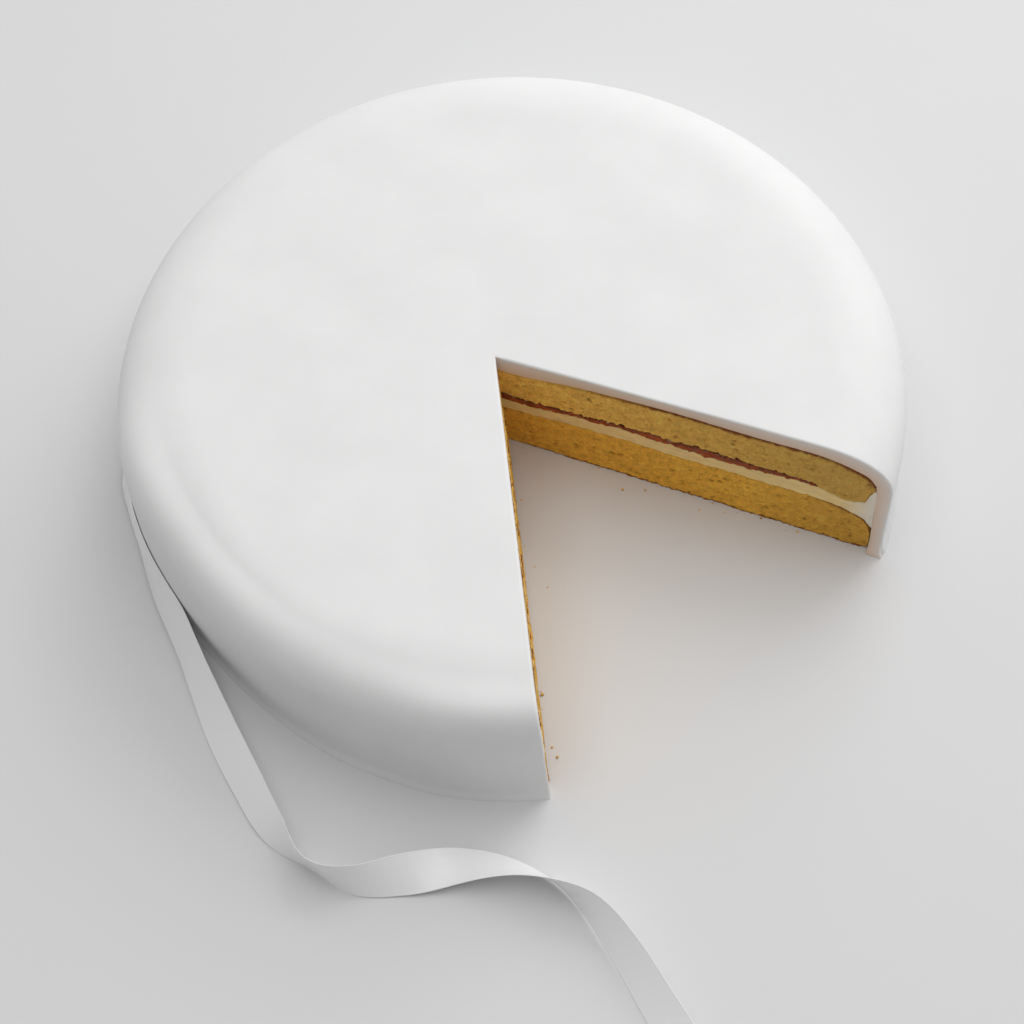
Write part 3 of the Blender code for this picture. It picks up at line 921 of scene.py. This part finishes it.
class CAKE_OT_icing(bpy.types.Operator):
    """Lay the sugar icing over the cake"""

    bl_idname = "cake.icing"
    bl_label = "Icing"

    def execute(self, context):
        sizes, colours = context.scene.cake_sizes, context.scene.cake_colours
        outside = icing_outside(sizes)
        inside = soften(np.array(ICING_INSIDE) * MM)
        foot = np.array((inside[-1], outside[-1]))
        length = np.linalg.norm(np.diff(outside, axis=0), axis=1).sum()
        grid = section(outside, inside, foot, round(length / sizes.icing_grid) + 1, ICING_ROWS)
        turns = row_turns(FIRST_ROW, SMOOTH_STEP, sizes.wall_radius)
        piece = swept_layer("icing_cover", grid, turns, icing_relief, sizes.icing_round, torn=False)
        finish_piece(piece, icing_material(colours), "icing", "icing")
        return {"FINISHED"}


class CAKE_OT_sponges(bpy.types.Operator):
    """Make the two sponges with their torn cut faces"""

    bl_idname = "cake.sponges"
    bl_label = "Sponges"

    def execute(self, context):
        sizes, colours = context.scene.cake_sizes, context.scene.cake_colours
        turns = row_turns(FIRST_HIDDEN_ROW, HIDDEN_STEP, sizes.wall_radius)
        upper = layer_section(UPPER_TOP, UPPER_BOTTOM, UPPER_RIM, sizes.crumb_grid, UPPER_ROWS)
        piece = swept_layer("upper_sponge", upper, turns, crumb_relief(sizes, *UPPER_CRUMB))
        base = tuple(colours.upper_sponge)
        crumb = sponge_material("upper_crumb", base, colours, UPPER_CRUST, NO_CRUST, UPPER_SHADE)
        finish_piece(piece, crumb, "sponge_upper", "sponge_upper")
        lower = layer_section(LOWER_TOP, LOWER_BOTTOM, LOWER_RIM, sizes.crumb_grid, LOWER_ROWS)
        piece = swept_layer("lower_sponge", lower, turns, crumb_relief(sizes, *LOWER_CRUMB))
        base = tuple(colours.lower_sponge)
        crumb = sponge_material("lower_crumb", base, colours, RIM_CRUST, FOOT_CRUST, LOWER_SHADE)
        finish_piece(piece, crumb, "sponge_lower", "sponge_lower")
        return {"FINISHED"}


class CAKE_OT_filling(bpy.types.Operator):
    """Spread the jam and the buttercream between the sponges"""

    bl_idname = "cake.filling"
    bl_label = "Filling"

    def execute(self, context):
        sizes, colours = context.scene.cake_sizes, context.scene.cake_colours
        turns = row_turns(FIRST_HIDDEN_ROW, HIDDEN_STEP, sizes.wall_radius)
        jam = layer_section(JAM_OVER, JAM_UNDER, JAM_RIM, sizes.crumb_grid, JAM_ROWS)
        piece = swept_layer("jam_layer", jam, turns, smooth_relief(*JAM_SMEAR))
        finish_piece(piece, jam_material(colours), "jam", "jam")
        cream = layer_section(CREAM_TOP, CREAM_BOTTOM, CREAM_RIM, sizes.crumb_grid, CREAM_ROWS)
        piece = swept_layer("buttercream_layer", cream, turns, smooth_relief(*CREAM_SMEAR))
        finish_piece(piece, cream_material(colours), "buttercream", "buttercream")
        return {"FINISHED"}


def spline(four, t):
    """Catmull-Rom curve between the middle two of four stations."""
    weights = (
        -0.5 * t + t * t - 0.5 * t ** 3,
        1.0 - 2.5 * t * t + 1.5 * t ** 3,
        0.5 * t + 2.0 * t * t - 1.5 * t ** 3,
        -0.5 * t * t + 0.5 * t ** 3,
    )
    return sum(weight * station for weight, station in zip(weights, four))


def ribbon_route():
    """Stations x, y, z and roll of the ribbon's middle line, from its stuck to its loose end."""
    count = round((RIBBON_LEAVES - RIBBON_START) / BAND_STEP)
    angles = np.radians(np.linspace(RIBBON_START, RIBBON_LEAVES, count + 1))
    stuck = [
        np.array((RIBBON_RADIUS * math.cos(a), RIBBON_RADIUS * math.sin(a), RIBBON_LIFT, RIBBON_LEAN))
        for a in angles
    ]
    tail = [np.array((x * MM, y * MM, z * MM, roll)) for x, y, z, roll in TAIL]
    end = 2.0 * tail[-1] - tail[-2]
    end[3] = tail[-1][3]
    joined = [stuck[-1]] + tail + [end]
    smooth = [
        spline(joined[i - 1:i + 3], k / TAIL_STEPS)
        for i in range(1, len(joined) - 2)
        for k in range(TAIL_STEPS)
    ]
    return np.array(stuck + smooth + [tail[-1]])


def ribbon_section(sizes):
    """Cross-section of the ribbon as place across and height: thicker, rounded woven edges."""
    half = 0.5 * sizes.ribbon_width
    across = np.r_[
        np.linspace(-half, -half + sizes.selvedge_width, SELVEDGE_POINTS),
        np.linspace(-half + sizes.selvedge_width, half - sizes.selvedge_width, SATIN_POINTS)[1:-1],
        np.linspace(half - sizes.selvedge_width, half, SELVEDGE_POINTS),
    ]
    into = np.minimum(half - np.abs(across), sizes.selvedge_width) / sizes.selvedge_width
    swell = SATIN_SHARE + SWELL_SHARE * np.sin(math.pi * np.minimum(into * 1.4, 1.0))
    swell = 0.5 * sizes.ribbon_thickness * swell
    swell[[0, -1]] *= PINCH
    upper = np.column_stack((across, swell))
    return np.vstack((upper, upper[::-1] * (1.0, -1.0))), 1.0 - into


class CAKE_OT_ribbon(bpy.types.Operator):
    """Stick the satin ribbon round the cake and lay out its loose tail"""

    bl_idname = "cake.ribbon"
    bl_label = "Ribbon"

    def execute(self, context):
        sizes, colours = context.scene.cake_sizes, context.scene.cake_colours
        route = ribbon_route()
        shape, edge = ribbon_section(sizes)
        edge = np.r_[edge, edge[::-1]]
        count, last = len(shape), len(route) - 1
        lengths = np.r_[0.0, np.cumsum(np.linalg.norm(np.diff(route[:, :3], axis=0), axis=1))]
        points, along = [], []
        for row, (x, y, z, roll) in enumerate(route):
            before, after = route[max(row - 1, 0), :3], route[min(row + 1, last), :3]
            heading = Vector(after - before).normalized()
            outward = heading.cross(Vector((0.0, 0.0, 1.0))).normalized()
            upward = outward.cross(heading)
            turn = math.radians(roll)
            across = upward * math.cos(turn) + outward * math.sin(turn)
            face = across.cross(heading)
            for place_across, height in shape.tolist():
                points.append(Vector((x, y, z)) + place_across * across + height * face)
                along.append(lengths[row] / MM)
        faces = [list(range(count)), list(range(last * count, (last + 1) * count))[::-1]]
        for row in range(last):
            for n in range(count):
                start, end = row * count + n, row * count + (n + 1) % count
                faces.append([start, end, end + count, start + count])
        reverse = np.repeat((1.0, 0.0), count // 2)
        values = {
            "along": along,
            "edge": np.tile(edge, len(route)),
            "reverse": np.tile(reverse, len(route)),
        }
        piece = new_piece("satin_ribbon", points, faces, values)
        finish_piece(piece, satin_material(colours), "ribbon", "ribbon")
        return {"FINISHED"}


def loose_crumb(bm, centre, size, number):
    """Add one lumpy crumb to a mesh, lying on the floor round a centre."""
    made = bmesh.ops.create_icosphere(bm, subdivisions=2, radius=size)["verts"]
    salt = Vector((3.1 * number, 1.7 * number, 0.0))
    for vert in made:
        lump = noise.fractal(vert.co / (0.8 * size) + salt, 0.8, 2.0, 3)
        vert.co *= 1.0 + CRUMB_LUMPS * lump
        vert.co.z *= CRUMB_FLATNESS
    lowest = min(vert.co.z for vert in made)
    for vert in made:
        vert.co += centre - Vector((0.0, 0.0, lowest - CRUMB_LIFT))


class CAKE_OT_crumbs(bpy.types.Operator):
    """Drop loose crumbs along the foot of the two cut faces"""

    bl_idname = "cake.crumbs"
    bl_label = "Crumbs"

    def execute(self, context):
        sizes, colours = context.scene.cake_sizes, context.scene.cake_colours
        draw = random.Random(CRUMB_SEED)
        bm = bmesh.new()
        for n in range(sizes.crumb_count):
            right = draw.random() < RIGHT_SHARE
            angle = math.radians(RIGHT_FACE_ANGLES[0] if right else LEFT_FACE_ANGLES[0])
            outward = math.radians(-90.0 if right else 90.0) + angle
            reach = draw.uniform(*CRUMB_REACH) * MM
            away = min(draw.expovariate(1.0 / CRUMB_STRAY), FARTHEST_STRAY) * MM + CRUMB_GAP
            size = sizes.crumb_size * (0.25 + 0.75 * draw.random() ** 2.5)
            centre = Vector((CUT_BASE_APEX[0], CUT_BASE_APEX[1], 0.0))
            centre += reach * Vector((math.cos(angle), math.sin(angle), 0.0))
            centre += away * Vector((math.cos(outward), math.sin(outward), 0.0))
            loose_crumb(bm, centre, size, n)
        piece = mesh_object("loose_crumbs", bm)
        piece.data.shade_smooth()
        base = tint(colours.upper_sponge, CRUMB_TINT)
        crumb = sponge_material("loose_crumb", base, colours, NO_CRUST, NO_CRUST, LOWER_SHADE)
        finish_piece(piece, crumb, "sponge_lower")
        return {"FINISHED"}


def soft_light(name, size, power, place_at):
    """A square area light that shines at the cake."""
    data = bpy.data.lights.new(name, "AREA")
    data.size = size
    data.energy = power
    lamp = bpy.data.objects.new(name, data)
    bpy.context.scene.collection.objects.link(lamp)
    lamp.location = place_at
    lamp.rotation_euler = (-Vector(place_at)).to_track_quat("-Z", "Y").to_euler()


def pale_floor(stage, colours):
    """A plain square floor."""
    bm = bmesh.new()
    bmesh.ops.create_grid(
        bm, x_segments=FLOOR_SQUARES, y_segments=FLOOR_SQUARES, size=0.5 * stage.floor_size
    )
    floor = mesh_object("floor", bm)
    floor.data.materials.append(floor_material(colours))


def studio_sky(stage):
    """Even white light, stronger on the far side than on the viewer's."""
    world = bpy.data.worlds.new("studio")
    world.use_nodes = True
    nodes, links = world.node_tree.nodes, world.node_tree.links
    background = nodes["Background"]
    background.inputs["Color"].default_value = (1.0, 1.0, 1.0, 1.0)
    around = nodes.new("ShaderNodeTexCoord")
    split = nodes.new("ShaderNodeSeparateXYZ")
    fade = nodes.new("ShaderNodeMapRange")
    fade.inputs["From Min"].default_value = -1.0
    fade.inputs["To Min"].default_value = stage.sky_front
    fade.inputs["To Max"].default_value = stage.sky_back
    links.new(around.outputs["Generated"], split.inputs["Vector"])
    links.new(split.outputs["Y"], fade.inputs["Value"])
    links.new(fade.outputs["Result"], background.inputs["Strength"])
    return world


def photo_camera():
    """A camera at the photograph's viewpoint."""
    tilt, roll = math.radians(CAMERA_TILT), math.radians(CAMERA_ROLL)
    forward = Vector((0.0, math.cos(tilt), -math.sin(tilt)))
    level = Vector((1.0, 0.0, 0.0))
    rise = Vector((0.0, math.sin(tilt), math.cos(tilt)))
    right = level * math.cos(roll) + rise * math.sin(roll)
    up = rise * math.cos(roll) - level * math.sin(roll)
    data = bpy.data.cameras.new("camera")
    data.lens = CAMERA_LENS
    data.sensor_width = SENSOR_WIDTH
    data.clip_start = CLIP_START
    camera = bpy.data.objects.new("camera", data)
    bpy.context.scene.collection.objects.link(camera)
    turn = Matrix((right, up, -forward)).transposed().to_4x4()
    camera.matrix_world = Matrix.Translation(CAMERA_PLACE) @ turn
    return camera


class CAKE_OT_stage(bpy.types.Operator):
    """Set up the floor, the soft light and the camera"""

    bl_idname = "cake.stage"
    bl_label = "Stage"

    def execute(self, context):
        scene = context.scene
        stage = scene.cake_stage
        pale_floor(stage, scene.cake_colours)
        scene.world = studio_sky(stage)
        scene.view_settings.view_transform = "Standard"
        powers = {"top": stage.top_power, "back": stage.back_power, "side": stage.side_power}
        for name, (size, place_at) in LIGHTS.items():
            soft_light(f"{name}_light", size, powers[name], place_at)
        scene.camera = photo_camera()
        return {"FINISHED"}


OPERATORS = (
    CAKE_OT_stage,
    CAKE_OT_icing,
    CAKE_OT_sponges,
    CAKE_OT_filling,
    CAKE_OT_ribbon,
    CAKE_OT_crumbs,
)


class CAKE_PT_panel(bpy.types.Panel):
    """Sizes, colours and pieces of the cake"""

    bl_idname = "CAKE_PT_panel"
    bl_label = "Cake"
    bl_space_type = "VIEW_3D"
    bl_region_type = "UI"
    bl_category = "Cake"

    def draw(self, context):
        for group in (context.scene.cake_sizes, context.scene.cake_colours, context.scene.cake_stage):
            box = self.layout.box()
            for key in group.__annotations__:
                box.prop(group, key)
        for operator in OPERATORS:
            self.layout.operator(operator.bl_idname)


GROUPS = {"cake_sizes": CakeSizes, "cake_colours": CakeColours, "cake_stage": CakeStage}


def register():
    """Register the classes and put their values on the scene."""
    for name, group in GROUPS.items():
        bpy.utils.register_class(group)
        setattr(bpy.types.Scene, name, bpy.props.PointerProperty(type=group))
    for kind in (*OPERATORS, CAKE_PT_panel):
        bpy.utils.register_class(kind)


def unregister():
    """Take the classes and values off again."""
    for kind in (CAKE_PT_panel, *reversed(OPERATORS)):
        bpy.utils.unregister_class(kind)
    for name, group in GROUPS.items():
        delattr(bpy.types.Scene, name)
        bpy.utils.unregister_class(group)


def main():
    """Make every piece in order."""
    register()
    bpy.ops.cake.stage()
    bpy.ops.cake.icing()
    bpy.ops.cake.sponges()
    bpy.ops.cake.filling()
    bpy.ops.cake.ribbon()
    bpy.ops.cake.crumbs()


if __name__ == "__main__":
    main()
